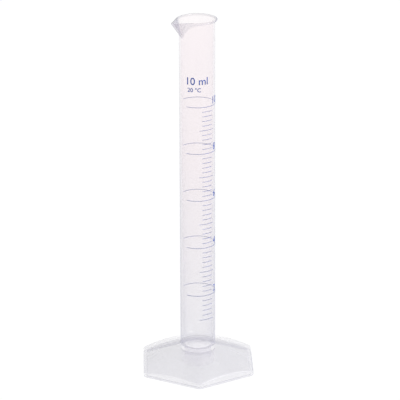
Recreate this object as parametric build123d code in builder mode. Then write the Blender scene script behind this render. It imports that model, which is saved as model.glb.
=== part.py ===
"""Ten millilitre measuring cylinder, in millimetres.

A moulded tube with a beaded rim and a V-shaped pouring lip stands in a hollow hexagonal foot. Its spigot
is pushed into the foot's hub, and the volume scale is printed on the outside as thin films of ink.

Frame: +Z up, origin at the centre of the foot's underside, on the tube's axis. The scale faces -Y, the
pouring lip points a few degrees off -X, and two corners of the foot lie on the X axis.
"""

from math import acos, cos, pi, radians, sin
import os

from build123d import *

# Tube
overall_height = 140.0
tube_radius = 6.8
bore_floor = 10.9  # height of the inside floor
bore_floor_radius = 5.58
bore_draft = 0.0035  # growth of the bore's radius for each millimetre of height
bore_corner = 1.4  # rounding between the bore's wall and its floor
bead_radius = 7.65
bead_height = 1.0
bead_rounding = 0.35

# Pouring lip
lip_angle = 187.4  # degrees round the tube
lip_reach = 12.7  # from the tube's axis to the tip, before its rounding
lip_depth = 7.4  # from the rim down to where the keel meets the tube
lip_tip_rounding = 0.7
lip_wall = 0.75

# Push fit between tube and foot
shoulder_height = 8.9  # the tube's shoulder stands on the hub here
spigot_radius = 5.2
spigot_bore = 3.9
spigot_bottom = 2.9
snap_height = 4.6  # middle of the snap bead and of the groove that takes it
snap_depth = 0.2

# Foot
foot_across_flats = 42.6
foot_corner_rounding = 2.2
foot_rim_height = 3.3  # at the middle of each side
foot_shoulder_rounding = 1.0
foot_wall = 1.4
collar_radius = 7.4
hub_radius = 6.6
hub_bottom = 1.6
vent_angle = -117.0  # vent notch in the rim, beside one corner
vent_width = 0.6
vent_height = 1.2

# Printed scale
ink_thickness = 0.04
ring_line = 0.25
tick_line = 0.22
ring_start, ring_sweep = -158.0, 268.0  # degrees round the tube
minor_tick_start, minor_tick_sweep = -105.6, 36.0
medium_tick_start, medium_tick_sweep = -115.0, 51.4
ring_volumes = (2, 4, 6, 8, 10)  # millilitres
medium_volumes = (1, 3, 5, 7, 9)
graduation_step = 0.2
numeral_height = 2.9
numeral_pen = 0.42
numeral_angle = -54.0
numeral_lift = 0.7  # gap between a ring and the numeral standing on it
capacity_height = 2.9
capacity_pen = 0.62
capacity_angle = -123.0
capacity_base = 116.2
temperature_height = 1.6
temperature_pen = 0.26
temperature_angle = -131.0
temperature_base = 113.4

os.makedirs("parts", exist_ok=True)


def bore_radius(height):
    """Radius of the bore at a height above the ground."""
    return bore_floor_radius + bore_draft * (height - bore_floor)


def mark_height(millilitres):
    """Height at which a volume of liquid stands in the bore."""
    corner_loss = (1 - pi / 4) * bore_corner**2 * 2 * pi * (bore_floor_radius - 0.22 * bore_corner)
    volume = millilitres * 1000 + corner_loss
    surface_radius = (bore_floor_radius**3 + 3 * bore_draft * volume / pi) ** (1 / 3)
    return bore_floor + (surface_radius - bore_floor_radius) / bore_draft


def export(part, name):
    """Labels a finished piece and writes its STEP file."""
    part.label = name
    export_step(part, f"parts/{name}.step")


# ---- Measuring tube ----


def lip_point(radius, height):
    """Point in the lip's middle plane."""
    return (radius * cos(radians(lip_angle)), radius * sin(radians(lip_angle)), height)


def lip_outline(reach, rim_radius, tip_rounding):
    """Top of the pouring lip: from its tip along the two tangents to the rim's circle."""
    tangent_angle = acos(rim_radius / reach)
    tangent_along = rim_radius * cos(tangent_angle)
    tangent_across = rim_radius * sin(tangent_angle)
    with BuildSketch(Plane(lip_point(0, overall_height), x_dir=lip_point(1, 0))) as outline:
        with BuildLine():
            Polyline(
                (0, 0),
                (tangent_along, tangent_across),
                (reach, 0),
                (tangent_along, -tangent_across),
                close=True,
            )
        make_face()
        fillet(outline.vertices().sort_by_distance(lip_point(reach, overall_height))[0], tip_rounding)
    return outline.sketch.face()


keel_slope = (lip_reach - tube_radius) / lip_depth
wall_along_x = lip_wall * (1 + keel_slope**2) ** 0.5  # thickness of the keel's wall, measured level
channel_reach = lip_reach - wall_along_x
channel_foot_radius = bore_radius(overall_height - lip_depth)
channel_depth = (channel_reach - channel_foot_radius) / keel_slope

with BuildPart() as measuring_tube:
    # Wall, shoulder, snap bead and spigot, turned about the axis
    with BuildSketch(Plane.XZ):
        with BuildLine():
            Polyline(
                (0, shoulder_height),
                (spigot_bore, shoulder_height),
                (spigot_bore, spigot_bottom),
                (spigot_radius, spigot_bottom),
                (spigot_radius, snap_height - 2 * snap_depth),
                (spigot_radius + snap_depth, snap_height),
                (spigot_radius, snap_height + 2 * snap_depth),
                (spigot_radius, shoulder_height),
                (tube_radius, shoulder_height),
                (tube_radius, overall_height),
                (0, overall_height),
                close=True,
            )
        make_face()
    revolve(axis=Axis.Z)
    # Beaded rim
    with BuildSketch(Plane.XZ) as bead_profile:
        with Locations((tube_radius - 0.3, overall_height - bead_height)):
            Rectangle(bead_radius - tube_radius + 0.3, bead_height, align=(Align.MIN, Align.MIN))
        fillet(bead_profile.vertices().sort_by(Axis.X)[-2:], bead_rounding)
    revolve(axis=Axis.Z)
    # Pouring lip, from its top outline down to the foot of its keel
    lip_top = lip_outline(lip_reach, bead_radius, lip_tip_rounding)
    keel_foot = Vertex(*lip_point(tube_radius, overall_height - lip_depth))
    loft([lip_top, keel_foot])
    # Channel of the lip
    channel_top = lip_outline(channel_reach, bore_radius(overall_height), lip_tip_rounding / 2)
    channel_foot = Vertex(*lip_point(channel_foot_radius, overall_height - channel_depth))
    loft([channel_top, channel_foot], mode=Mode.SUBTRACT)
    # Bore with a rounded floor
    with BuildSketch(Plane.XZ) as bore_profile:
        with BuildLine():
            Polyline(
                (0, bore_floor),
                (bore_floor_radius, bore_floor),
                (bore_radius(overall_height + 1), overall_height + 1),
                (0, overall_height + 1),
                close=True,
            )
        make_face()
        fillet(bore_profile.vertices().sort_by(Axis.Z)[:2].sort_by(Axis.X)[-1], bore_corner)
    revolve(axis=Axis.Z, mode=Mode.SUBTRACT)

export(measuring_tube.part, "measuring_tube")

# ---- Hexagonal foot ----


def hexagon(height, across_flats, rounding):
    """Level hexagon with rounded corners, two of them on the X axis."""
    with BuildSketch(Plane.XY.offset(height)) as outline:
        RegularPolygon(across_flats / 2, 6, major_radius=False)
        fillet(outline.vertices(), rounding)
    return outline.sketch.face()


def foot_form(across_flats, rounding, lowering):
    """Hexagonal prism under a conical roof, which meets its sides lowest at the corners."""
    corner_reach = across_flats / 3**0.5
    with BuildPart() as form:
        extrude(hexagon(0, across_flats, rounding), shoulder_height)
        with BuildSketch(Plane.XZ):
            with BuildLine():
                Polyline(
                    (0, 0),
                    (corner_reach, 0),
                    (corner_reach, shoulder_height - lowering - roof_slope * (corner_reach - collar_radius)),
                    (collar_radius, shoulder_height - lowering),
                    (0, shoulder_height - lowering),
                    close=True,
                )
            make_face()
        revolve(axis=Axis.Z, mode=Mode.INTERSECT)
    return form.part


roof_slope = (shoulder_height - foot_rim_height) / (foot_across_flats / 2 - collar_radius)
roof_drop = foot_wall * (1 + roof_slope**2) ** 0.5  # thickness of the conical roof, measured upright

with BuildPart() as hexagonal_foot:
    # Hollow shell with a rounded crease where its roof meets its sides
    add(foot_form(foot_across_flats, foot_corner_rounding, 0))
    curved_edges = hexagonal_foot.edges().filter_by(GeomType.LINE, reverse=True)
    crease = curved_edges.filter_by_position(Axis.Z, foot_shoulder_rounding, foot_rim_height)
    fillet(crease, foot_shoulder_rounding)
    hollow_across_flats = foot_across_flats - 2 * foot_wall
    hollow = foot_form(hollow_across_flats, foot_corner_rounding - foot_wall, roof_drop)
    add(hollow, mode=Mode.SUBTRACT)
    # Hub that grips the spigot
    with BuildSketch(Plane.XY.offset(hub_bottom)):
        Circle(hub_radius)
    extrude(amount=shoulder_height - hub_bottom)
    with BuildSketch(Plane.XZ):
        with BuildLine():
            Polyline(
                (0, 0),
                (spigot_radius, 0),
                (spigot_radius, snap_height - 3 * snap_depth),
                (spigot_radius + 1.5 * snap_depth, snap_height),
                (spigot_radius, snap_height + 3 * snap_depth),
                (spigot_radius, shoulder_height),
                (0, shoulder_height),
                close=True,
            )
        make_face()
    revolve(axis=Axis.Z, mode=Mode.SUBTRACT)
    # Vent notch through the rim, so that the foot doesn't cling to a wet bench
    vent_outward = (cos(radians(vent_angle)), sin(radians(vent_angle)), 0)
    with BuildSketch(Plane((0, 0, 0), x_dir=(0, 0, 1), z_dir=vent_outward)):
        Rectangle(2 * vent_height, vent_width)
    extrude(amount=foot_across_flats, mode=Mode.SUBTRACT)

export(hexagonal_foot.part, "hexagonal_foot")

# ---- Printed scale ----

# Centre lines of the printed characters, in cap heights: two points make a line and three an arc.
STROKES = {
    "0": [
        ((0.0, 0.72), (0.28, 1.0), (0.56, 0.72)),
        ((0.56, 0.72), (0.56, 0.28)),
        ((0.56, 0.28), (0.28, 0.0), (0.0, 0.28)),
        ((0.0, 0.28), (0.0, 0.72)),
    ],
    "1": [((0.0, 0.78), (0.24, 1.0)), ((0.24, 1.0), (0.24, 0.0))],
    "2": [
        ((0.01, 0.73), (0.28, 1.0), (0.55, 0.73)),
        ((0.55, 0.73), (0.52, 0.59), (0.44, 0.47)),
        ((0.44, 0.47), (0.02, 0.0)),
        ((0.02, 0.0), (0.57, 0.0)),
    ],
    "4": [((0.44, 0.0), (0.44, 1.0)), ((0.42, 0.98), (0.0, 0.33)), ((-0.04, 0.31), (0.62, 0.31))],
    "6": [
        ((0.0, 0.28), (0.28, 0.56), (0.56, 0.28)),
        ((0.56, 0.28), (0.28, 0.0), (0.0, 0.28)),
        ((0.0, 0.31), (0.12, 0.72), (0.44, 1.0)),
    ],
    "8": [
        ((0.01, 0.27), (0.28, 0.54), (0.55, 0.27)),
        ((0.55, 0.27), (0.28, 0.0), (0.01, 0.27)),
        ((0.05, 0.77), (0.28, 1.0), (0.51, 0.77)),
        ((0.51, 0.77), (0.28, 0.54), (0.05, 0.77)),
    ],
    "m": [
        ((0.0, 0.0), (0.0, 0.7)),
        ((0.02, 0.46), (0.22, 0.66), (0.42, 0.46)),
        ((0.42, 0.46), (0.42, 0.0)),
        ((0.44, 0.46), (0.64, 0.66), (0.84, 0.46)),
        ((0.84, 0.46), (0.84, 0.0)),
    ],
    "l": [((0.0, 0.0), (0.0, 1.0))],
    "C": [((0.82, 0.88), (0.0, 0.5), (0.82, 0.12))],
    "\N{DEGREE SIGN}": [
        ((0.0, 0.82), (0.17, 0.99), (0.34, 0.82)),
        ((0.34, 0.82), (0.17, 0.65), (0.0, 0.82)),
    ],
    " ": [],
}
CHARACTER_GAP = 0.27  # clear space after each character, in cap heights
SPACE_WIDTH = 0.2
RELIEF = 2.0  # depth to which a character is cut into the film of ink


def line_section(height, line_width, angle):
    """Cross-section of a printed line, in the upright plane at an angle round the tube."""
    outward = (cos(radians(angle)), sin(radians(angle)), 0)
    sideways = (sin(radians(angle)), -cos(radians(angle)), 0)
    with BuildSketch(Plane((0, 0, 0), x_dir=outward, z_dir=sideways)) as section:
        with Locations((tube_radius, height)):
            Rectangle(ink_thickness, line_width, align=(Align.MIN, Align.CENTER))
    return section.sketch.face()


def character_width(character):
    """Width of a character's centre lines, in cap heights."""
    across = [point[0] for stroke in STROKES[character] for point in stroke]
    return max(across) - min(across) if across else SPACE_WIDTH


def lettering(text, height, pen, middle_angle, base):
    """Flat outlines of the characters, each on its own plane that touches the tube."""
    widths = [character_width(character) for character in text]
    line_length = sum(widths) + CHARACTER_GAP * (len(text) - 1)
    outlines = []
    along = -line_length / 2
    for character, width in zip(text, widths):
        middle = (along + width / 2) * height
        angle = radians(middle_angle) + middle / tube_radius
        along += width + CHARACTER_GAP
        if not STROKES[character]:
            continue
        outward = (cos(angle), sin(angle), 0)
        rightward = (-sin(angle), cos(angle), 0)
        origin = (tube_radius * cos(angle), tube_radius * sin(angle), base)
        with BuildSketch(Plane(origin, x_dir=rightward, z_dir=outward)) as outline:
            for stroke in STROKES[character]:
                points = [((x - width / 2) * height, y * height) for x, y in stroke]
                with BuildLine():
                    if len(points) == 2:
                        Line(*points)
                    else:
                        ThreePointArc(*points)
                trace(line_width=pen)
        outlines.extend(outline.sketch.faces())
    return outlines


def ink_film():
    """Plan of the ink: a ring as thick as the film, round the tube."""
    with BuildSketch() as film:
        Circle(tube_radius + ink_thickness)
        Circle(tube_radius, mode=Mode.SUBTRACT)
    return film.sketch.face()


for volume in ring_volumes:
    with BuildPart() as ring:
        revolve(line_section(mark_height(volume), ring_line, ring_start), Axis.Z, ring_sweep)
    export(ring.part, f"ring_graduation_{volume:02d}_ml")

with BuildPart() as medium_ticks:
    for volume in medium_volumes:
        section = line_section(mark_height(volume), tick_line, medium_tick_start)
        revolve(section, Axis.Z, medium_tick_sweep)
export(medium_ticks.part, "medium_ticks")

with BuildPart() as minor_ticks:
    for whole in range(medium_volumes[0], ring_volumes[-1]):
        for step in range(1, round(1 / graduation_step)):
            volume = whole + step * graduation_step
            section = line_section(mark_height(volume), tick_line, minor_tick_start)
            revolve(section, Axis.Z, minor_tick_sweep)
export(minor_ticks.part, "minor_ticks")

with BuildPart() as scale_numerals:
    for volume in ring_volumes:
        base = mark_height(volume) + numeral_lift
        numeral = lettering(str(volume), numeral_height, numeral_pen, numeral_angle, base)
        extrude(numeral, RELIEF, both=True)
    extrude(ink_film(), overall_height, mode=Mode.INTERSECT)
export(scale_numerals.part, "scale_numerals")

with BuildPart() as capacity_legend:
    legend = lettering("10 ml", capacity_height, capacity_pen, capacity_angle, capacity_base)
    extrude(legend, RELIEF, both=True)
    extrude(ink_film(), overall_height, mode=Mode.INTERSECT)
export(capacity_legend.part, "capacity_legend")

with BuildPart() as temperature_legend:
    text = "20 \N{DEGREE SIGN}C"
    legend = lettering(text, temperature_height, temperature_pen, temperature_angle, temperature_base)
    extrude(legend, RELIEF, both=True)
    extrude(ink_film(), overall_height, mode=Mode.INTERSECT)
export(temperature_legend.part, "temperature_legend")
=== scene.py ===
"""Ten millilitre measuring cylinder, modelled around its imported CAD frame.

Laid out as an add-on: the settings of each moulding, the print and the stage are property groups, each
piece or group of like pieces has its own operator, and main() calls them in order.
"""

import math

import bmesh
import bpy
from bpy.props import FloatProperty, FloatVectorProperty, PointerProperty
from bpy.types import Operator, Panel, PropertyGroup
from mathutils import Euler, Matrix, Vector


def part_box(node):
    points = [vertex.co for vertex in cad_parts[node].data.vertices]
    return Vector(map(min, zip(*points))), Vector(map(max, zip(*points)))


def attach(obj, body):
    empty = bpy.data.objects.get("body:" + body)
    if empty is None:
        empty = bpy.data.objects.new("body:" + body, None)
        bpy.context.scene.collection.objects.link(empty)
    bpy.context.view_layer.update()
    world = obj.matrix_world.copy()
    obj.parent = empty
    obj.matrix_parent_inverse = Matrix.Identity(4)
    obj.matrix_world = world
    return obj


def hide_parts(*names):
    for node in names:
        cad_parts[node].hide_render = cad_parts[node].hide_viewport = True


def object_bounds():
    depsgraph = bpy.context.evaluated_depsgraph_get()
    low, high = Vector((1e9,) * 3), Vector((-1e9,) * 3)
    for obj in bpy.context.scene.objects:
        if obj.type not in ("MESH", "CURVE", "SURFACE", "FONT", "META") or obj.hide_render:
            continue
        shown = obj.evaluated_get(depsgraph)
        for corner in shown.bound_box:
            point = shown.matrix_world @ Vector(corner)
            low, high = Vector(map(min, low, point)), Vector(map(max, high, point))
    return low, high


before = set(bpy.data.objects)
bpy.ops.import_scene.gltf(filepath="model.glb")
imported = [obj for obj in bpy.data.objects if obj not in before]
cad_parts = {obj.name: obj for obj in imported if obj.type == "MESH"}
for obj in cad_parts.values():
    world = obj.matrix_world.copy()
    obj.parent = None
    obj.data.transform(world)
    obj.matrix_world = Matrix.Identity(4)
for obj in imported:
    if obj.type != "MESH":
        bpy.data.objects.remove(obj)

bl_info = {
    "name": "Measuring Cylinder",
    "version": (1, 0, 0),
    "blender": (4, 5, 0),
    "location": "View3D > Sidebar > Cylinder",
    "description": "Moulds and prints a small plastic measuring cylinder around its CAD frame",
    "category": "Object",
}

MM = 0.001
MILLILITRE = 1e-6
BODY = "root"
RING_VOLUMES = (2, 4, 6, 8, 10)
INK_SUNK = 0.2  # share of the ink's thickness that lies below the tube's surface

KEY_PLACE, KEY_SIZE = Vector((0.75, -1.0, 0.95)), 0.8
FILL_PLACE, FILL_SIZE = Vector((-1.0, 0.3, 0.8)), 0.9

cad_low, cad_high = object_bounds()
tube_low, tube_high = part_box("measuring_tube")
foot_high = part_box("hexagonal_foot")[1]
ring_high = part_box("ring_graduation_10_ml")[1]


def ring_height(volume):
    """Height of a ring mark's middle, from its CAD node."""
    low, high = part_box(f"ring_graduation_{volume:02d}_ml")
    return (low.z + high.z) / 2


# ---- Settings ----


def length(name, description, millimetres):
    """A length setting with its default given in millimetres."""
    return FloatProperty(
        name=name, description=description, default=millimetres * MM, min=0.0, unit="LENGTH", precision=5
    )


def share(name, description, value):
    """A setting between 0 and 1."""
    return FloatProperty(
        name=name, description=description, default=value, min=0.0, max=1.0, subtype="FACTOR"
    )


def turn(name, description, degrees):
    """An angle setting with its default given in degrees."""
    return FloatProperty(
        name=name, description=description, default=math.radians(degrees), subtype="ANGLE"
    )


def colour(name, description, value):
    """A colour setting."""
    return FloatVectorProperty(
        name=name, description=description, default=value, size=3, min=0.0, max=1.0, subtype="COLOR"
    )


class TubeSettings(PropertyGroup):
    """Sizes of the moulded tube"""

    ink_thickness: length("Ink thickness", "How far the print stands off the tube", 0.04)
    floor: length("Inside floor", "Height of the bore's floor", 10.9)
    floor_radius: length("Floor radius", "Radius of the bore at its floor", 5.58)
    draft: FloatProperty(name="Draft", description="Growth of the bore's radius with height", default=0.0035)
    corner: length("Floor rounding", "Rounding between the bore's wall and floor", 1.4)
    bead_height: length("Bead height", "Height of the rim's bead", 1.0)
    lip_angle: turn("Lip angle", "Direction of the lip, round the tube", 187.4)
    lip_reach: length("Lip reach", "From the axis to the lip's tip, before its rounding", 12.7)
    lip_depth: length("Lip depth", "From the rim to where the keel meets the tube", 7.4)
    lip_wall: length("Lip wall", "Thickness of the lip's keel", 0.75)
    crease: length("Crease", "Softness of the creases where the lip leaves the tube", 0.25)
    spigot_radius: length("Spigot radius", "Outside radius of the spigot", 5.2)
    spigot_bore: length("Spigot bore", "Radius of the hollow in the spigot", 3.9)
    fit_gap: length("Fit gap", "Clearance that is drawn between the two mouldings", 0.03)


class FootSettings(PropertyGroup):
    """Sizes of the moulded foot"""

    corner: length("Corner rounding", "Rounding of the hexagon's corners, in plan", 2.2)
    rim: length("Rim height", "Height at which the roof starts, at the middle of a side", 3.3)
    shoulder: length("Shoulder rounding", "Rounding between rim and roof", 1.0)
    wall: length("Wall", "Thickness of the rim and the roof", 1.4)
    collar: length("Collar", "Radius of the level ring at the roof's top", 7.4)
    hub_radius: length("Hub radius", "Outside radius of the hub", 6.6)
    hub_bottom: length("Hub bottom", "Height of the hub's lower end", 1.6)
    vent_angle: turn("Vent angle", "Place of the vent notch in the rim", -117.0)
    vent_width: length("Vent width", "Width of the vent notch", 0.6)
    vent_height: length("Vent height", "Height of the vent notch", 1.2)


class PrintSettings(PropertyGroup):
    """Places, widths and colour of the printed scale"""

    ink: colour("Ink", "Colour of the ink", (0.055, 0.11, 0.42))
    letter_cover: share("Letter cover", "Light stopped by the ink of the characters", 0.85)
    line_cover: share("Line cover", "Light stopped by the thinner ink of the marks", 0.5)
    ring_line: length("Ring line", "Width of a ring mark", 0.2)
    tick_line: length("Tick line", "Width of a tick", 0.18)
    ring_start: turn("Ring start", "Angle at which the ring marks start", -158.0)
    ring_sweep: turn("Ring sweep", "How far round the tube they go", 268.0)
    minor_start: turn("Minor tick start", "Angle at which the short ticks start", -105.6)
    minor_sweep: turn("Minor tick sweep", "How far round the tube they go", 36.0)
    medium_start: turn("Medium tick start", "Angle at which the longer ticks start", -115.0)
    medium_sweep: turn("Medium tick sweep", "How far round the tube they go", 51.4)
    numeral_angle: turn("Numeral angle", "Middle of the numerals", -54.0)
    numeral_height: length("Numeral height", "Cap height of the numerals", 2.9)
    numeral_lift: length("Numeral lift", "Gap between a ring mark and its numeral", 0.7)
    capacity_angle: turn("Capacity angle", "Middle of the capacity", -123.0)
    capacity_height: length("Capacity height", "Cap height of the capacity", 2.9)
    temperature_angle: turn("Temperature angle", "Middle of the temperature", -131.0)
    temperature_height: length("Temperature height", "Cap height of the temperature", 1.6)


class PlasticSettings(PropertyGroup):
    """Colour and haze of the two mouldings' polypropylene, and the painted shade on the foot's crease and
    lower edge
    """

    haze_colour: colour("Haze colour", "Light that the plastic scatters", (0.58, 0.58, 0.69))
    tube_tint: colour("Tube tint", "Light that a face of the upper tube passes", (0.999, 0.981, 0.985))
    end_tint: colour("Lower tint", "Light that a face of the tube's foot end passes", (0.996, 0.994, 0.999))
    foot_tint: colour("Foot tint", "Light that a face of the foot passes", (0.996, 0.992, 0.999))
    rim_haze: share("Haze at the rim", "Light stopped by one face of the thin wall at the rim", 0.022)
    floor_haze: share("Haze at the floor", "Light stopped by one face of the thick wall at the floor", 0.11)
    inner_share: share("Haze of the bore", "Share of that haze on the inner face", 0.3)
    slant_gain: FloatProperty(name="Slant gain", description="Haze's growth with slant", default=1.3)
    bore_gain: FloatProperty(name="Bore gain", description="The same in the bore", default=0.3)
    foot_gain: FloatProperty(name="Foot gain", description="The same on the foot", default=0.05)
    far_share: share("Far share", "Share of the scattered light that leaves on the far side", 0.5)
    bead_haze: share("Haze of the bead", "Added haze of the thick bead at the rim", 0.2)
    lip_haze: share("Haze of the lip", "Added haze of the pouring lip", 0.1)
    closed_end: length("Closed end", "Height up to which the tube's closed end reaches", 11.0)
    end_haze: share("Haze of the closed end", "Added haze of the tube's thick closed end", 0.015)
    spigot_share: share("Haze of the spigot", "Share of the haze that is left in the spigot", 0.05)
    foot_haze: share("Haze of the roof", "Light stopped by one face of the foot's roof", 0.19)
    side_haze: share("Haze of the sides", "Light stopped by one face of the foot's sides", 0.11)
    # Painted shade: extra opacity that darkens the foot's rounded creases
    crease_haze: share("Painted shade of the crease", "Painted shade that darkens the rounded creases of the foot", 0.03)
    # Painted shade: extra opacity that darkens the foot's lower edge, where it meets the floor
    brink_haze: share("Painted shade of the lower edge", "Painted shade that darkens the foot's lower edge", 0.3)
    hub_share: share("Haze of the hub", "Share of the foot's haze that is left in the hub", 0.06)
    tube_roughness: share("Tube roughness", "Roughness of the tube's surface", 0.16)
    foot_roughness: share("Foot roughness", "Roughness of the foot's surface", 0.28)


class StageSettings(PropertyGroup):
    """Camera, lamps and floor"""

    azimuth: turn("Camera azimuth", "Turn of the camera round the cylinder", -31.6)
    distance: length("Camera distance", "Level distance from the axis to the camera", 794.3)
    height: length("Camera height", "Height of the camera above the floor", 358.9)
    pitch: turn("Camera pitch", "How far the camera looks down", 20.10)
    heading: turn("Camera heading", "Turn of the camera away from the axis", -0.07)
    roll: turn("Camera roll", "Turn of the camera about its own view", -0.13)
    lens: FloatProperty(name="Lens", description="Focal length in millimetres", default=199.2, min=1.0)
    floor_colour: colour("Floor", "Colour of the floor", (0.92, 0.92, 0.92))
    glow_share: share("Floor glow share", "Share of the floor that shows plain white", 0.9)
    glow: FloatProperty(name="Floor glow", description="Strength of that white", default=1.06)
    key: FloatProperty(name="Key lamp", description="Power of the key lamp", default=14.0, unit="POWER")
    fill: FloatProperty(name="Fill lamp", description="Power of the fill lamp", default=0.7, unit="POWER")
    sky: FloatProperty(name="Sky", description="Strength of the light from all round", default=0.45)


# ---- Shader node groups and materials ----


def new_group(name, inputs, outputs):
    """A shader node group with float inputs, given as name and default, and named outputs."""
    group = bpy.data.node_groups.new(name, "ShaderNodeTree")
    for label, default in inputs:
        socket = group.interface.new_socket(label, in_out="INPUT", socket_type="NodeSocketFloat")
        socket.default_value = default
    for label, kind in outputs:
        group.interface.new_socket(label, in_out="OUTPUT", socket_type=kind)
    return group, group.nodes.new("NodeGroupInput"), group.nodes.new("NodeGroupOutput")


def add_node(tree, kind, settings=None, inputs=None):
    """A node with its settings and its input values or links."""
    node = tree.nodes.new(kind)
    for key, value in (settings or {}).items():
        setattr(node, key, value)
    for key, value in (inputs or {}).items():
        if isinstance(value, bpy.types.NodeSocket):
            tree.links.new(value, node.inputs[key])
        else:
            node.inputs[key].default_value = value
    return node


def math_node(tree, operation, first, second=0.0, clamp=False):
    """A Math node's result."""
    inputs = {0: first, 1: second}
    node = add_node(tree, "ShaderNodeMath", {"operation": operation, "use_clamp": clamp}, inputs)
    return node.outputs[0]


def map_node(tree, value, from_range, to_range):
    """A value brought from one range to another, and kept in it."""
    inputs = {
        "Value": value, "From Min": from_range[0], "From Max": from_range[1],
        "To Min": to_range[0], "To Max": to_range[1],
    }
    return add_node(tree, "ShaderNodeMapRange", inputs=inputs).outputs[0]


def moulding_group():
    """The shared node group of flow lines, fine grain and roughness, built on first use."""
    name = "Moulding marks"
    built = bpy.data.node_groups.get(name)
    if built:
        return built
    group, given, result = new_group(
        name,
        [("Roughness", 0.1), ("Flow", 0.5), ("Grain", 0.5)],
        [("Roughness", "NodeSocketFloat"), ("Height", "NodeSocketFloat"), ("Cloud", "NodeSocketFloat")],
    )
    place = add_node(group, "ShaderNodeTexCoord")
    stretched = add_node(
        group, "ShaderNodeMapping", inputs={"Vector": place.outputs["Object"], "Scale": (1.0, 1.0, 0.06)}
    )
    flow = add_node(
        group,
        "ShaderNodeTexNoise",
        inputs={"Vector": stretched.outputs[0], "Scale": 420.0, "Detail": 2.0, "Roughness": 0.5},
    )
    grain = add_node(
        group,
        "ShaderNodeTexNoise",
        inputs={"Vector": place.outputs["Object"], "Scale": 2600.0, "Detail": 2.0, "Roughness": 0.6},
    )
    cloud = add_node(
        group,
        "ShaderNodeTexNoise",
        inputs={"Vector": place.outputs["Object"], "Scale": 90.0, "Detail": 3.0, "Roughness": 0.55},
    )
    flow_height = math_node(group, "MULTIPLY", flow.outputs["Fac"], given.outputs["Flow"])
    grain_height = math_node(group, "MULTIPLY", grain.outputs["Fac"], given.outputs["Grain"])
    height = math_node(group, "ADD", flow_height, grain_height)
    swing = map_node(group, cloud.outputs["Fac"], (0.3, 0.7), (0.75, 1.3))
    rough = math_node(group, "MULTIPLY", given.outputs["Roughness"], swing, clamp=True)
    group.links.new(rough, result.inputs["Roughness"])
    group.links.new(height, result.inputs["Height"])
    group.links.new(cloud.outputs["Fac"], result.inputs["Cloud"])
    return group


def place_nodes(tree):
    """Height above the ground and distance from the axis."""
    place = add_node(tree, "ShaderNodeTexCoord")
    split = add_node(tree, "ShaderNodeSeparateXYZ", inputs={0: place.outputs["Object"]})
    level = add_node(
        tree,
        "ShaderNodeVectorMath",
        {"operation": "MULTIPLY"},
        {0: place.outputs["Object"], 1: (1.0, 1.0, 0.0)},
    )
    radius = add_node(tree, "ShaderNodeVectorMath", {"operation": "LENGTH"}, {0: level.outputs[0]})
    return split.outputs["Z"], radius.outputs["Value"]


def tube_haze(tree, look):
    """Haze of the tube and its growth with slant.

    The wall thickens downwards, and the bead, the lip and the closed end are thicker still.
    """
    height, radius = place_nodes(tree)
    spigot_top = (foot_high.z - 1 * MM, foot_high.z)
    end_top = (look.closed_end, look.closed_end + 0.6 * MM)
    bore_to_outside = (6.2 * MM, 6.6 * MM)
    outside_to_bead = (ring_high.y + 0.1 * MM, tube_high.y)
    bead_to_lip = (tube_high.y, tube_high.y + 0.5 * MM)
    wall = map_node(tree, height, (foot_high.z, tube_high.z), (look.floor_haze, look.rim_haze))
    above_spigot = map_node(tree, height, spigot_top, (look.spigot_share, 1.0))
    closed = map_node(tree, height, end_top, (look.end_haze, 0.0))
    bottom = math_node(tree, "MULTIPLY", closed, above_spigot)
    side = map_node(tree, radius, bore_to_outside, (look.inner_share, 1.0))
    bead = map_node(tree, radius, outside_to_bead, (0.0, look.bead_haze))
    lip = map_node(tree, radius, bead_to_lip, (0.0, look.lip_haze - look.bead_haze))
    edge = math_node(tree, "ADD", math_node(tree, "ADD", bead, lip), bottom)
    body = math_node(tree, "MULTIPLY", math_node(tree, "MULTIPLY", wall, above_spigot), side)
    gain = map_node(tree, radius, bore_to_outside, (look.bore_gain, look.slant_gain))
    return math_node(tree, "ADD", body, edge), gain


def foot_haze(tree, look):
    """Haze of the foot and its growth with slant: clear hub, and painted shade that darkens the crease and
    the lower edge.
    """
    height, radius = place_nodes(tree)
    side_to_roof = (0.2, 0.7)  # upward part of the normal
    crease_upward, crease_spread = 0.5, 0.3  # the same
    brink_top = (0.1 * MM, 0.4 * MM)
    hub_to_shell = (6.65 * MM, 6.9 * MM)
    hub_to_collar = (foot_high.z - 3.0 * MM, foot_high.z - 2.6 * MM)
    geometry = add_node(tree, "ShaderNodeNewGeometry")
    normal = add_node(tree, "ShaderNodeSeparateXYZ", inputs={0: geometry.outputs["Normal"]})
    upward = math_node(tree, "ABSOLUTE", normal.outputs["Z"])
    roof = map_node(tree, upward, side_to_roof, (look.side_haze, look.foot_haze))
    # Painted shade: extra haze darkens the rounded crease between rim and roof
    past_crease = math_node(tree, "SUBTRACT", normal.outputs["Z"], crease_upward)
    off_crease = math_node(tree, "ABSOLUTE", past_crease)
    crease = map_node(tree, off_crease, (0.0, crease_spread), (look.crease_haze, 0.0))
    # Painted shade along the lower edge, where the foot meets the floor
    brink = map_node(tree, height, brink_top, (look.brink_haze, 0.0))
    shell = math_node(tree, "ADD", math_node(tree, "ADD", roof, crease), brink)
    beside_hub = map_node(tree, radius, hub_to_shell, (look.hub_share, 1.0))
    above_hub = map_node(tree, height, hub_to_collar, (look.hub_share, 1.0))
    outside = math_node(tree, "MAXIMUM", beside_hub, above_hub)
    return math_node(tree, "MULTIPLY", shell, outside), look.foot_gain


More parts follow.
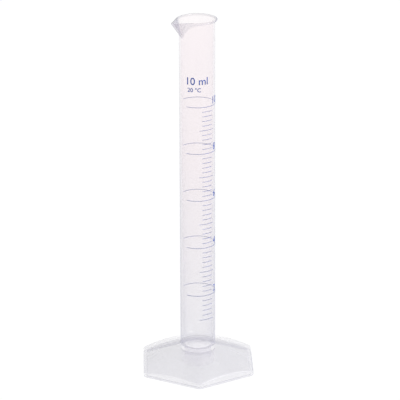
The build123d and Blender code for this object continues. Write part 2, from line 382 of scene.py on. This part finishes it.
def stopped_light(tree, haze, slant_gain):
    """Share of the light that a face stops, more of it where the face is seen at a slant."""
    least_upright = 0.1
    slant = add_node(tree, "ShaderNodeLayerWeight", inputs={"Blend": 0.5})
    facing = math_node(tree, "SUBTRACT", 1.0, slant.outputs["Facing"])
    upright = math_node(tree, "MAXIMUM", facing, least_upright)
    path_length = math_node(tree, "POWER", math_node(tree, "DIVIDE", 1.0, upright), slant_gain)
    passed = math_node(tree, "POWER", math_node(tree, "SUBTRACT", 1.0, haze), path_length)
    return math_node(tree, "SUBTRACT", 1.0, passed, clamp=True)


def mirrored_light(tree, refraction):
    """Share of the light that the front of a face mirrors."""
    fresnel = add_node(tree, "ShaderNodeFresnel", inputs={"IOR": refraction})
    geometry = add_node(tree, "ShaderNodeNewGeometry")
    front = math_node(tree, "SUBTRACT", 1.0, geometry.outputs["Backfacing"])
    return math_node(tree, "MULTIPLY", fresnel.outputs[0], front)


def blend(tree, share_of_second, first, second):
    """Two shaders mixed."""
    inputs = {0: share_of_second, 1: first, 2: second}
    return add_node(tree, "ShaderNodeMixShader", inputs=inputs).outputs[0]


def plastic(name, tints, haze_of, look, roughness, bump_strength):
    """Hazy see-through plastic: more is scattered where the wall is thick or seen at a slant.

    tints are what a face passes at the level of the foot and from 0.6 of the tube's height up.
    """
    material = bpy.data.materials.new(name)
    material.use_nodes = True
    tree = material.node_tree
    tree.nodes.clear()
    marks = {"Roughness": roughness, "Flow": 1.0, "Grain": 0.4}
    group = add_node(tree, "ShaderNodeGroup", {"node_tree": moulding_group()}, marks)
    bump = add_node(
        tree,
        "ShaderNodeBump",
        inputs={"Height": group.outputs["Height"], "Strength": bump_strength, "Distance": 0.03 * MM},
    )
    finish = {"Roughness": group.outputs["Roughness"], "Normal": bump.outputs[0]}
    swing = map_node(tree, group.outputs["Cloud"], (0.3, 0.7), (0.92, 1.08))
    plain_haze, slant_gain = haze_of(tree, look)
    haze = math_node(tree, "MULTIPLY", plain_haze, swing, clamp=True)

    haze_colour = (*look.haze_colour, 1.0)
    scattered = add_node(
        tree,
        "ShaderNodeBsdfPrincipled",
        inputs={"Base Color": haze_colour, "Specular IOR Level": 0.0, **finish},
    )
    lit_behind = add_node(tree, "ShaderNodeBsdfTranslucent", inputs={"Color": haze_colour})
    rise = map_node(tree, place_nodes(tree)[0], (foot_high.z, 0.6 * tube_high.z), (0.0, 1.0))
    tint = add_node(
        tree,
        "ShaderNodeMix",
        {"data_type": "RGBA"},
        {"Factor": rise, 6: (*tints[0], 1.0), 7: (*tints[1], 1.0)},
    )
    through = add_node(tree, "ShaderNodeBsdfTransparent", inputs={"Color": tint.outputs[2]})
    gloss = add_node(tree, "ShaderNodeBsdfGlossy", inputs={"Color": (1, 1, 1, 1), **finish})

    haze_body = blend(tree, look.far_share, scattered.outputs[0], lit_behind.outputs[0])
    wall = blend(tree, stopped_light(tree, haze, slant_gain), through.outputs[0], haze_body)
    surface = blend(tree, mirrored_light(tree, 1.49), wall, gloss.outputs[0])
    output = add_node(tree, "ShaderNodeOutputMaterial")
    tree.links.new(surface, output.inputs["Surface"])
    return material


def ink_material(name, ink, cover):
    """Screen-printed ink: a matt blue film, a little paler in places."""
    material = bpy.data.materials.new(name)
    material.use_nodes = True
    tree = material.node_tree
    shader = tree.nodes["Principled BSDF"]
    marks = {"Roughness": 0.45, "Flow": 0.0, "Grain": 1.0}
    group = add_node(tree, "ShaderNodeGroup", {"node_tree": moulding_group()}, marks)
    pale_ink = [1.6 * part for part in ink]
    worn = add_node(
        tree,
        "ShaderNodeMix",
        {"data_type": "RGBA"},
        {"Factor": group.outputs["Cloud"], 6: (*ink, 1.0), 7: (*pale_ink, 1.0)},
    )
    tree.links.new(worn.outputs[2], shader.inputs["Base Color"])
    tree.links.new(group.outputs["Roughness"], shader.inputs["Roughness"])
    shader.inputs["Alpha"].default_value = cover
    return material


# ---- Mesh helpers ----


def warped_angles(count, crowding, repeats, centre):
    """Angles once round, crowded at centre and at each repeat of it."""
    steps = [2 * math.pi * i / count for i in range(count)]
    return [centre + u - crowding / repeats * math.sin(repeats * u) for u in steps]


def arc_points(start, corner, end, radius, steps):
    """Points of the arc of a given radius that rounds a corner of a profile."""
    a, b = (start - corner).normalized(), (end - corner).normalized()
    half = a.angle(b) / 2
    reach = radius / math.tan(half)
    centre = corner + (a + b).normalized() * radius / math.sin(half)
    first, last = corner + a * reach - centre, corner + b * reach - centre
    angle = first.angle_signed(last)
    return [centre + Matrix.Rotation(-angle * i / steps, 2) @ first for i in range(steps + 1)]


def rounded_profile(corners, steps):
    """Points of a profile, from its corners.

    A corner is given as radius, height, rounding and the number of parts of the run that follows it.
    """
    points = []
    for i, (r, z, rounding, _) in enumerate(corners):
        here = Vector((r, z))
        if rounding:
            before, after = Vector(corners[i - 1][:2]), Vector(corners[i + 1][:2])
            turn_points = arc_points(before, here, after, rounding, steps)
        else:
            turn_points = [here]
        if points:
            parts = corners[i - 1][3]
            start = points[-1]
            points.extend(start.lerp(turn_points[0], k / parts) for k in range(1, parts))
        points.extend(turn_points)
    return points


def soft_max(a, b, softness):
    """The larger of two values, with a rounded crossing."""
    return 0.5 * (a + b + math.sqrt((a - b) ** 2 + softness**2))


def skin(name, loops, low_pole, high_pole):
    """A closed mesh through loops of points, between two poles or, without them, back to the first loop."""
    mesh = bpy.data.meshes.new(name)
    bm = bmesh.new()
    rows = [[bm.verts.new(point) for point in loop] for loop in loops]
    count = len(rows[0])
    for lower, upper in zip(rows, rows[1:]):
        for i in range(count):
            j = (i + 1) % count
            bm.faces.new((lower[i], lower[j], upper[j], upper[i]))
    for pole, row, flip in ((low_pole, rows[0], True), (high_pole, rows[-1], False)):
        if pole is None:
            continue
        tip = bm.verts.new(pole)
        for i in range(count):
            j = (i + 1) % count
            bm.faces.new((row[j], row[i], tip) if flip else (row[i], row[j], tip))
    if low_pole is None:
        for i in range(count):
            j = (i + 1) % count
            bm.faces.new((rows[-1][i], rows[-1][j], rows[0][j], rows[0][i]))
    bmesh.ops.recalc_face_normals(bm, faces=bm.faces)
    bm.to_mesh(mesh)
    bm.free()
    mesh.polygons.foreach_set("use_smooth", [True] * len(mesh.polygons))
    return mesh


def add_piece(mesh, material, slot, *nodes):
    """Puts a mesh in the scene as a piece that rides on the body and stands for CAD nodes."""
    piece = bpy.data.objects.new(mesh.name, mesh)
    bpy.context.scene.collection.objects.link(piece)
    mesh.materials.append(material)
    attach(piece, BODY)
    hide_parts(*nodes)
    return piece


def evaluated_mesh(holder):
    """A new mesh of what an object is with its modifiers."""
    bpy.context.view_layer.update()
    seen = holder.evaluated_get(bpy.context.evaluated_depsgraph_get())
    return bpy.data.meshes.new_from_object(seen)


def weigh_normals(piece):
    """Lets the large faces of a piece set its shading."""
    modifier = piece.modifiers.new("Weighted normals", "WEIGHTED_NORMAL")
    modifier.keep_sharp = True
    modifier.weight = 80


# ---- Tube ----


def lip_radius(turn_from_lip, height, rim, reach, rim_radius, foot_radius, depth):
    """Distance from the axis to a side of the lip, and how much it counts.

    The side is a flat face from the lip's edge to the keel's foot.
    """
    tip_rounding, fade_lead, fade_spread = 0.026, 0.10, 0.25  # radians
    rise = (height - (rim - depth)) / depth
    tip = foot_radius + rise * (reach - foot_radius)
    half = math.asin(min(1.0, rim_radius / reach))
    rounded = math.sqrt(turn_from_lip**2 + tip_rounding**2)
    edge = math.pi / 2 - half
    face = tip * math.sin(half) / math.sin(min(rounded, edge) + half)
    fade = min(1.0, max(0.0, (rounded - edge + fade_lead) / fade_spread))
    return face, 1.0 - fade * fade * (3 - 2 * fade)


def tube_loops(tube, angles, rim, shoulder, spigot_bottom, radius, bead_radius):
    """Loops of the tube, from the hollow of its spigot round the outside and down the bore."""

    def bore(z):
        return tube.floor_radius + tube.draft * (z - tube.floor)

    slope = (tube.lip_reach - radius) / tube.lip_depth
    channel_reach = tube.lip_reach - tube.lip_wall * math.sqrt(1 + slope**2)
    channel_foot = bore(rim - tube.lip_depth)
    channel_depth = (channel_reach - channel_foot) / slope

    def drawn_out(base, z, angle, *lip):
        turn_from_lip = abs((angle - tube.lip_angle + math.pi) % (2 * math.pi) - math.pi)
        face, weight = lip_radius(turn_from_lip, z, rim, *lip)
        return base + weight * (soft_max(base, face, tube.crease) - base)

    def outside(base, z, angle):
        return drawn_out(base, z, angle, tube.lip_reach, bead_radius, radius, tube.lip_depth)

    def inside(base, z, angle):
        return drawn_out(base, z, angle, channel_reach, bore(rim), channel_foot, channel_depth)

    def loop(radius_at, z):
        return [(radius_at(a) * math.cos(a), radius_at(a) * math.sin(a), z) for a in angles]

    barrel_start = shoulder + 4 * MM
    lip_start = rim - tube.lip_depth - 1.2 * MM
    bead_start = rim - tube.bead_height - 0.15 * MM
    barrel_steps, lip_steps, floor_steps = 16, 22, 8
    spigot, seat = tube.spigot_radius - tube.fit_gap, shoulder + tube.fit_gap
    below = rounded_profile([
        (0.0, shoulder, 0, 1),
        (tube.spigot_bore, shoulder, 0.3 * MM, 1),
        (tube.spigot_bore, spigot_bottom, 0.3 * MM, 1),
        (spigot, spigot_bottom, 0.4 * MM, 1),
        (spigot, seat, 0.2 * MM, 1),
        (radius, seat, 0.35 * MM, 1),
        (radius, barrel_start, 0, 1),
    ], 4)
    loops = []
    for r, z in below[1:]:
        loops.append(loop(lambda a, r=r: r, z))
    for i in range(1, barrel_steps):
        z = barrel_start + (lip_start - barrel_start) * i / barrel_steps
        loops.append(loop(lambda a: radius, z))
    for i in range(lip_steps + 1):
        z = lip_start + (bead_start - lip_start) * i / lip_steps
        loops.append(loop(lambda a, z=z: outside(radius, z, a), z))
    bead = (  # shares of how far the bead stands out and how deep it is
        (0.10, 0.90), (0.45, 0.80), (0.80, 0.66), (0.97, 0.48), (1.0, 0.30), (0.97, 0.18), (0.86, 0.07),
    )
    for out, drop in bead:
        z = rim - drop * tube.bead_height
        base = radius + out * (bead_radius - radius)
        loops.append(loop(lambda a, z=z, base=base: outside(base, z, a), z))
    top_edge = radius + 0.70 * (bead_radius - radius)
    loops.append(loop(lambda a: outside(top_edge, rim, a) - 0.05 * MM, rim))
    mouth = ((0.22, 0.0), (0.10, 0.03), (0.02, 0.12))  # millimetres out from the bore, and down
    for inset, drop in mouth:
        z = rim - drop * MM
        loops.append(loop(lambda a, z=z, inset=inset: inside(bore(rim), rim, a) + inset * MM, z))
    for i in range(lip_steps + 1):
        z = rim - 0.3 * MM - (tube.lip_depth + 0.9 * MM) * i / lip_steps
        loops.append(loop(lambda a, z=z: inside(bore(z), z, a), z))
    corner_top = tube.floor + tube.corner
    for i in range(1, barrel_steps):
        z = lip_start + (corner_top - lip_start) * i / barrel_steps
        loops.append(loop(lambda a, z=z: bore(z), z))
    for i in range(floor_steps + 1):
        bend = math.pi / 2 * i / floor_steps
        r = bore(tube.floor) - tube.corner * (1 - math.cos(bend))
        z = corner_top - tube.corner * math.sin(bend)
        loops.append(loop(lambda a, r=r: r, z))
    loops.append(loop(lambda a: 0.5 * tube.floor_radius, tube.floor))
    return loops


class CYLINDER_OT_tube(Operator):
    """Mould the tube with its beaded rim, pouring lip, closed floor and spigot"""

    bl_idname = "cylinder.tube"
    bl_label = "Mould Tube"

    def execute(self, context):
        tube = context.scene.cylinder_tube
        look = context.scene.cylinder_plastic
        angles = warped_angles(240, 0.55, 1, tube.lip_angle)
        loops = tube_loops(
            tube,
            angles,
            rim=tube_high.z,
            shoulder=foot_high.z,
            spigot_bottom=tube_low.z,
            radius=ring_high.y - tube.ink_thickness,
            bead_radius=tube_high.y,
        )
        mesh = skin("moulded_tube", loops, (0, 0, foot_high.z), (0, 0, tube.floor))
        material = plastic(
            "Tube polypropylene",
            (look.end_tint, look.tube_tint),
            tube_haze,
            look,
            look.tube_roughness,
            bump_strength=0.15,
        )
        piece = add_piece(mesh, material, "tube_plastic", "measuring_tube")
        weigh_normals(piece)
        return {"FINISHED"}


# ---- Foot ----


def hexagon_radius(angle, apothem, rounding):
    """Distance from the axis to a hexagon with rounded corners, two of them on the X axis."""
    sixth = math.pi / 3
    from_corner = abs((angle + sixth / 2) % sixth - sixth / 2)
    centre = (apothem - rounding) / math.cos(sixth / 2)
    tangent = math.atan2(rounding * math.sin(sixth / 2), centre + rounding * math.cos(sixth / 2))
    if from_corner > tangent:
        return apothem / math.cos(sixth / 2 - from_corner)
    across = centre * math.sin(from_corner)
    return centre * math.cos(from_corner) + math.sqrt(rounding**2 - across**2)


def foot_profile(foot, socket, angle):
    """Section of the foot at an angle: from the socket over the roof, round the rim and back to the hub."""
    apothem, top = foot_high.y, foot_high.z
    slope = (top - foot.rim) / (apothem - foot.collar)
    drop = foot.wall * math.sqrt(1 + slope**2)
    outer = hexagon_radius(angle, apothem, foot.corner)
    inner = hexagon_radius(angle, apothem - foot.wall, foot.corner - foot.wall)

    def roof(radius):
        return top - slope * (radius - foot.collar)

    corners = [
        (socket, top - 1.0 * MM, 0, 1),
        (socket, top, 0.15 * MM, 1),
        (foot.collar, top, 0.3 * MM, 9),
        (outer, roof(outer), foot.shoulder, 2),
        (outer, 0.0, 0.2 * MM, 1),
        (inner, 0.0, 0.15 * MM, 2),
        (inner, roof(inner) - drop, 0.4 * MM, 9),
        (foot.hub_radius, roof(foot.hub_radius) - drop, 0.3 * MM, 4),
        (foot.hub_radius, foot.hub_bottom, 0.25 * MM, 1),
        (socket, foot.hub_bottom, 0.25 * MM, 1),
        (socket, foot.hub_bottom + 1.0 * MM, 0, 0),
    ]
    return rounded_profile(corners, 5)


def cut_vent(mesh, foot):
    """The foot's mesh with a small notch through its rim, which lets air out from under it."""
    block = bpy.data.meshes.new("vent")
    bm = bmesh.new()
    bmesh.ops.create_cube(bm, size=1.0)
    start, end = 0.5 * foot_high.y, foot_high.y + 2 * MM
    bmesh.ops.scale(bm, vec=(end - start, foot.vent_width, 2 * foot.vent_height), verts=bm.verts)
    bmesh.ops.translate(bm, vec=((start + end) / 2, 0, 0), verts=bm.verts)
    bmesh.ops.rotate(bm, matrix=Matrix.Rotation(foot.vent_angle, 3, "Z"), verts=bm.verts)
    bm.to_mesh(block)
    bm.free()
    foot_holder = bpy.data.objects.new("foot with vent", mesh)
    vent_holder = bpy.data.objects.new("vent", block)
    for holder in (foot_holder, vent_holder):
        bpy.context.scene.collection.objects.link(holder)
    cut = foot_holder.modifiers.new("Vent", "BOOLEAN")
    cut.operation = "DIFFERENCE"
    cut.solver = "EXACT"
    cut.object = vent_holder
    result = evaluated_mesh(foot_holder)
    for holder in (foot_holder, vent_holder):
        bpy.data.objects.remove(holder)
    bpy.data.meshes.remove(block)
    bpy.data.meshes.remove(mesh)
    result.name = "moulded_foot"
    return result


class CYLINDER_OT_foot(Operator):
    """Mould the hollow foot: a hexagonal rim under a conical roof, with a hub for the tube"""

    bl_idname = "cylinder.foot"
    bl_label = "Mould Foot"

    def execute(self, context):
        foot = context.scene.cylinder_foot
        tube = context.scene.cylinder_tube
        look = context.scene.cylinder_plastic
        socket = tube.spigot_radius + tube.fit_gap
        angles = warped_angles(288, 0.8, 6, 0.0)
        sections = [foot_profile(foot, socket, angle) for angle in angles]
        loops = []
        for station in range(len(sections[0])):
            ring = [(section[station], angle) for section, angle in zip(sections, angles)]
            loops.append([(p.x * math.cos(a), p.x * math.sin(a), p.y) for p, a in ring])
        mesh = skin("moulded_foot", loops, None, None)
        material = plastic(
            "Foot polypropylene",
            (look.foot_tint, look.foot_tint),
            foot_haze,
            look,
            look.foot_roughness,
            bump_strength=0.08,
        )
        mesh = cut_vent(mesh, foot)
        piece = add_piece(mesh, material, "foot_plastic", "hexagonal_foot")
        weigh_normals(piece)
        return {"FINISHED"}


# ---- Print ----


def add_band(bm, radius, thickness, height, width, start, sweep):
    """Adds one printed line: a thin curved bar round part of the tube."""
    steps = max(6, round(abs(sweep) / math.radians(2.0)))
    sunk, shoulder = INK_SUNK * thickness, 0.75 * thickness
    section = (  # out from the tube, and up in shares of the width
        (-sunk, -0.5), (shoulder, -0.5), (thickness, -0.36),
        (thickness, 0.36), (shoulder, 0.5), (-sunk, 0.5),
    )
    rows = []
    for i in range(steps + 1):
        angle = start + sweep * i / steps
        row = []
        for out, up in section:
            r = radius + out
            row.append(bm.verts.new((r * math.cos(angle), r * math.sin(angle), height + up * width)))
        rows.append(row)
    for before, after in zip(rows, rows[1:]):
        for i in range(len(section)):
            j = (i + 1) % len(section)
            bm.faces.new((before[i], after[i], after[j], before[j]))
    bm.faces.new(rows[0])
    bm.faces.new(list(reversed(rows[-1])))


def printed(name, bm, context, cover, *nodes):
    """Finishes a bmesh of ink as a piece, in ink that stops a share of the light."""
    mesh = bpy.data.meshes.new(name)
    bmesh.ops.recalc_face_normals(bm, faces=bm.faces)
    bm.to_mesh(mesh)
    bm.free()
    finish = f"Ink {round(100 * cover)}"
    ink = bpy.data.materials.get(finish)
    ink = ink or ink_material(finish, context.scene.cylinder_print.ink, cover)
    return add_piece(mesh, ink, "scale_ink", *nodes)


def print_radius(context):
    """Radius of the surface that is printed on."""
    return ring_high.y - context.scene.cylinder_tube.ink_thickness


def mark_height(context, millilitres):
    """Height of the surface of a volume of liquid in the bore."""
    tube = context.scene.cylinder_tube
    fillet_middle = tube.floor_radius - 0.22 * tube.corner
    filled = (1 - math.pi / 4) * tube.corner**2 * 2 * math.pi * fillet_middle
    volume = millilitres * MILLILITRE + filled
    surface = (tube.floor_radius**3 + 3 * tube.draft * volume / math.pi) ** (1 / 3)
    return tube.floor + (surface - tube.floor_radius) / tube.draft


class CYLINDER_OT_rings(Operator):
    """Print the ring marks that go nearly all the way round"""

    bl_idname = "cylinder.rings"
    bl_label = "Print Ring Marks"

    def execute(self, context):
        scale = context.scene.cylinder_print
        thickness = context.scene.cylinder_tube.ink_thickness
        for volume in RING_VOLUMES:
            bm = bmesh.new()
            add_band(
                bm, print_radius(context), thickness, ring_height(volume), scale.ring_line,
                scale.ring_start, scale.ring_sweep,
            )
            node = f"ring_graduation_{volume:02d}_ml"
            printed(f"ring_mark_{volume:02d}", bm, context, scale.line_cover, node)
        return {"FINISHED"}


class CYLINDER_OT_ticks(Operator):
    """Print the short and the longer ticks"""

    bl_idname = "cylinder.ticks"
    bl_label = "Print Ticks"

    def execute(self, context):
        scale = context.scene.cylinder_print
        thickness = context.scene.cylinder_tube.ink_thickness
        radius = print_radius(context)
        medium, minor = bmesh.new(), bmesh.new()
        for fifth in range(5, 50):  # fifths of a millilitre
            height = mark_height(context, fifth / 5)
            band = (radius, thickness, height, scale.tick_line)
            if fifth % 10 == 5:
                add_band(medium, *band, scale.medium_start, scale.medium_sweep)
            elif fifth % 5:
                add_band(minor, *band, scale.minor_start, scale.minor_sweep)
        printed("printed_medium_ticks", medium, context, scale.line_cover, "medium_ticks")
        printed("printed_minor_ticks", minor, context, scale.line_cover, "minor_ticks")
        return {"FINISHED"}


def flat_text(body, cap_height, bold):
    """A flat mesh of a line of text, its middle at the origin and its feet on the X axis."""
    curve = bpy.data.curves.new("lettering", "FONT")
    curve.body = body
    curve.align_x = "CENTER"
    curve.size = cap_height / 0.72
    curve.offset = bold
    curve.resolution_u = 6
    holder = bpy.data.objects.new("lettering", curve)
    bpy.context.scene.collection.objects.link(holder)
    mesh = evaluated_mesh(holder)
    bpy.data.objects.remove(holder)
    bpy.data.curves.remove(curve)
    return mesh


def add_lettering(bm, body, cap_height, bold, radius, thickness, angle, base):
    """Adds a line of text, printed round the tube with its middle at an angle."""
    flat = flat_text(body, cap_height, bold)
    letters = bmesh.new()
    letters.from_mesh(flat)
    bpy.data.meshes.remove(flat)
    bmesh.ops.remove_doubles(letters, verts=letters.verts, dist=1e-7)
    reach = max(abs(v.co.x) for v in letters.verts)
    step = 0.3 * MM
    for i in range(-math.ceil(reach / step), math.ceil(reach / step) + 1):
        everything = letters.verts[:] + letters.edges[:] + letters.faces[:]
        bmesh.ops.bisect_plane(letters, geom=everything, plane_co=(i * step, 0, 0), plane_no=(1, 0, 0))
    face_set = bmesh.ops.extrude_face_region(letters, geom=letters.faces[:])
    raised = {v for v in face_set["geom"] if isinstance(v, bmesh.types.BMVert)}
    for v in letters.verts:
        r = radius + (thickness if v in raised else -INK_SUNK * thickness)
        turned = angle + v.co.x / radius
        v.co = (r * math.cos(turned), r * math.sin(turned), base + v.co.y)
    mesh = bpy.data.meshes.new("letters")
    letters.to_mesh(mesh)
    letters.free()
    bm.from_mesh(mesh)
    bpy.data.meshes.remove(mesh)


class CYLINDER_OT_numerals(Operator):
    """Print a number on each ring mark"""

    bl_idname = "cylinder.numerals"
    bl_label = "Print Numerals"

    def execute(self, context):
        scale = context.scene.cylinder_print
        bm = bmesh.new()
        for volume in RING_VOLUMES:
            add_lettering(
                bm, str(volume), scale.numeral_height, 0.0, print_radius(context),
                context.scene.cylinder_tube.ink_thickness, scale.numeral_angle,
                ring_height(volume) + scale.numeral_lift,
            )
        printed("printed_numerals", bm, context, scale.letter_cover, "scale_numerals")
        return {"FINISHED"}


class CYLINDER_OT_legends(Operator):
    """Print the capacity and the temperature above the scale"""

    bl_idname = "cylinder.legends"
    bl_label = "Print Legends"

    def execute(self, context):
        scale = context.scene.cylinder_print
        thickness = context.scene.cylinder_tube.ink_thickness
        radius = print_radius(context)
        celsius = "20 \N{DEGREE SIGN}C"
        # Name, text, cap height, boldness as a share of it, angle, and foot of the text above its CAD box's
        legends = (
            ("capacity", "10 ml", scale.capacity_height, 0.012, scale.capacity_angle, 0.3 * MM),
            ("temperature", celsius, scale.temperature_height, 0.02, scale.temperature_angle, 0.13 * MM),
        )
        for name, body, cap_height, bold, angle, lift in legends:
            bm = bmesh.new()
            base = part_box(f"{name}_legend")[0].z + lift
            add_lettering(bm, body, cap_height, bold * cap_height, radius, thickness, angle, base)
            printed(f"printed_{name}", bm, context, scale.letter_cover, f"{name}_legend")
        return {"FINISHED"}


# ---- Stage ----


def seen_white(tree):
    """1 for rays from the camera or by way of glass and gloss, which see the white surroundings."""
    path = add_node(tree, "ShaderNodeLightPath")
    seen = math_node(tree, "MAXIMUM", path.outputs["Is Camera Ray"], path.outputs["Is Glossy Ray"])
    return math_node(tree, "MAXIMUM", seen, path.outputs["Is Transmission Ray"])


def floor_material(stage):
    """Pale floor that shows white and keeps a soft shadow."""
    material = bpy.data.materials.new("Pale floor")
    material.use_nodes = True
    tree = material.node_tree
    tree.nodes.clear()
    matt = add_node(tree, "ShaderNodeBsdfDiffuse", inputs={"Color": (*stage.floor_colour, 1.0)})
    glow = add_node(tree, "ShaderNodeEmission", inputs={"Color": (1, 1, 1, 1), "Strength": stage.glow})
    factor = math_node(tree, "MULTIPLY", seen_white(tree), stage.glow_share)
    surface = blend(tree, factor, matt.outputs[0], glow.outputs[0])
    output = add_node(tree, "ShaderNodeOutputMaterial")
    tree.links.new(surface, output.inputs["Surface"])
    return material


def add_lamp(name, place, size, power):
    """A square soft lamp that faces the middle of the cylinder."""
    lamp = bpy.data.lights.new(name, "AREA")
    lamp.size = size
    lamp.energy = power
    holder = bpy.data.objects.new(name, lamp)
    holder.location = place
    aim = Vector((0, 0, 0.5 * cad_high.z)) - holder.location
    holder.rotation_euler = aim.to_track_quat("-Z", "Y").to_euler()
    bpy.context.scene.collection.objects.link(holder)


class CYLINDER_OT_stage(Operator):
    """Set up the floor, the surroundings, the lamps and the camera"""

    bl_idname = "cylinder.stage"
    bl_label = "Set Up Stage"

    def execute(self, context):
        scene = context.scene
        stage = scene.cylinder_stage
        floor_mesh = bpy.data.meshes.new("floor")
        reach = 4.0
        corners = [(-reach, -reach, 0), (reach, -reach, 0), (reach, reach, 0), (-reach, reach, 0)]
        floor_mesh.from_pydata(corners, [], [(0, 1, 2, 3)])
        floor_mesh.materials.append(floor_material(stage))
        floor = bpy.data.objects.new("floor", floor_mesh)
        scene.collection.objects.link(floor)

        world = bpy.data.worlds.new("Surroundings")
        world.use_nodes = True
        tree = world.node_tree
        tree.nodes.clear()
        strength = map_node(tree, seen_white(tree), (0.0, 1.0), (stage.sky, 1.0))
        background = add_node(
            tree, "ShaderNodeBackground", inputs={"Color": (1, 1, 1, 1), "Strength": strength}
        )
        output = add_node(tree, "ShaderNodeOutputWorld")
        tree.links.new(background.outputs[0], output.inputs["Surface"])
        scene.world = world

        add_lamp("Key lamp", KEY_PLACE, KEY_SIZE, stage.key)
        add_lamp("Fill lamp", FILL_PLACE, FILL_SIZE, stage.fill)

        camera = bpy.data.cameras.new("Camera")
        camera.lens = stage.lens
        camera.sensor_width = 36.0
        camera.clip_start = 0.05
        camera.clip_end = 20.0
        holder = bpy.data.objects.new("Camera", camera)
        scene.collection.objects.link(holder)
        away = Vector((math.sin(stage.azimuth), -math.cos(stage.azimuth), 0.0))
        place = away * stage.distance + Vector((0, 0, stage.height))
        aim = Euler((math.pi / 2 - stage.pitch, 0.0, stage.azimuth + stage.heading)).to_matrix()
        rolled = aim @ Matrix.Rotation(stage.roll, 3, "Z")
        holder.matrix_world = Matrix.Translation(place) @ rolled.to_4x4()
        scene.camera = holder
        scene.view_settings.view_transform = "Standard"
        scene.cycles.transparent_max_bounces = 32
        return {"FINISHED"}


# ---- Panel and registration ----


class CYLINDER_PT_panel(Panel):
    """Lists the steps that make the measuring cylinder"""

    bl_label = "Measuring Cylinder"
    bl_idname = "CYLINDER_PT_panel"
    bl_space_type = "VIEW_3D"
    bl_region_type = "UI"
    bl_category = "Cylinder"

    def draw(self, context):
        for operator in OPERATORS:
            self.layout.operator(operator.bl_idname)
        for name in SETTINGS:
            group = getattr(context.scene, name)
            box = self.layout.box()
            for key in group.__annotations__:
                box.prop(group, key)


SETTINGS = {
    "cylinder_tube": TubeSettings,
    "cylinder_foot": FootSettings,
    "cylinder_print": PrintSettings,
    "cylinder_plastic": PlasticSettings,
    "cylinder_stage": StageSettings,
}
OPERATORS = (
    CYLINDER_OT_stage,
    CYLINDER_OT_tube,
    CYLINDER_OT_foot,
    CYLINDER_OT_rings,
    CYLINDER_OT_ticks,
    CYLINDER_OT_numerals,
    CYLINDER_OT_legends,
)


def register():
    """Registers the classes and hangs the settings on the scene."""
    for group in SETTINGS.values():
        bpy.utils.register_class(group)
    for operator in OPERATORS:
        bpy.utils.register_class(operator)
    bpy.utils.register_class(CYLINDER_PT_panel)
    for name, group in SETTINGS.items():
        setattr(bpy.types.Scene, name, PointerProperty(type=group))


def unregister():
    """Takes away what register() added."""
    for name in SETTINGS:
        delattr(bpy.types.Scene, name)
    bpy.utils.unregister_class(CYLINDER_PT_panel)
    for cls in (*reversed(OPERATORS), *reversed(SETTINGS.values())):
        bpy.utils.unregister_class(cls)


def main():
    """Makes the whole cylinder on its stage."""
    register()
    bpy.ops.cylinder.stage()
    bpy.ops.cylinder.tube()
    bpy.ops.cylinder.foot()
    bpy.ops.cylinder.rings()
    bpy.ops.cylinder.ticks()
    bpy.ops.cylinder.numerals()
    bpy.ops.cylinder.legends()


if __name__ == "__main__":
    main()
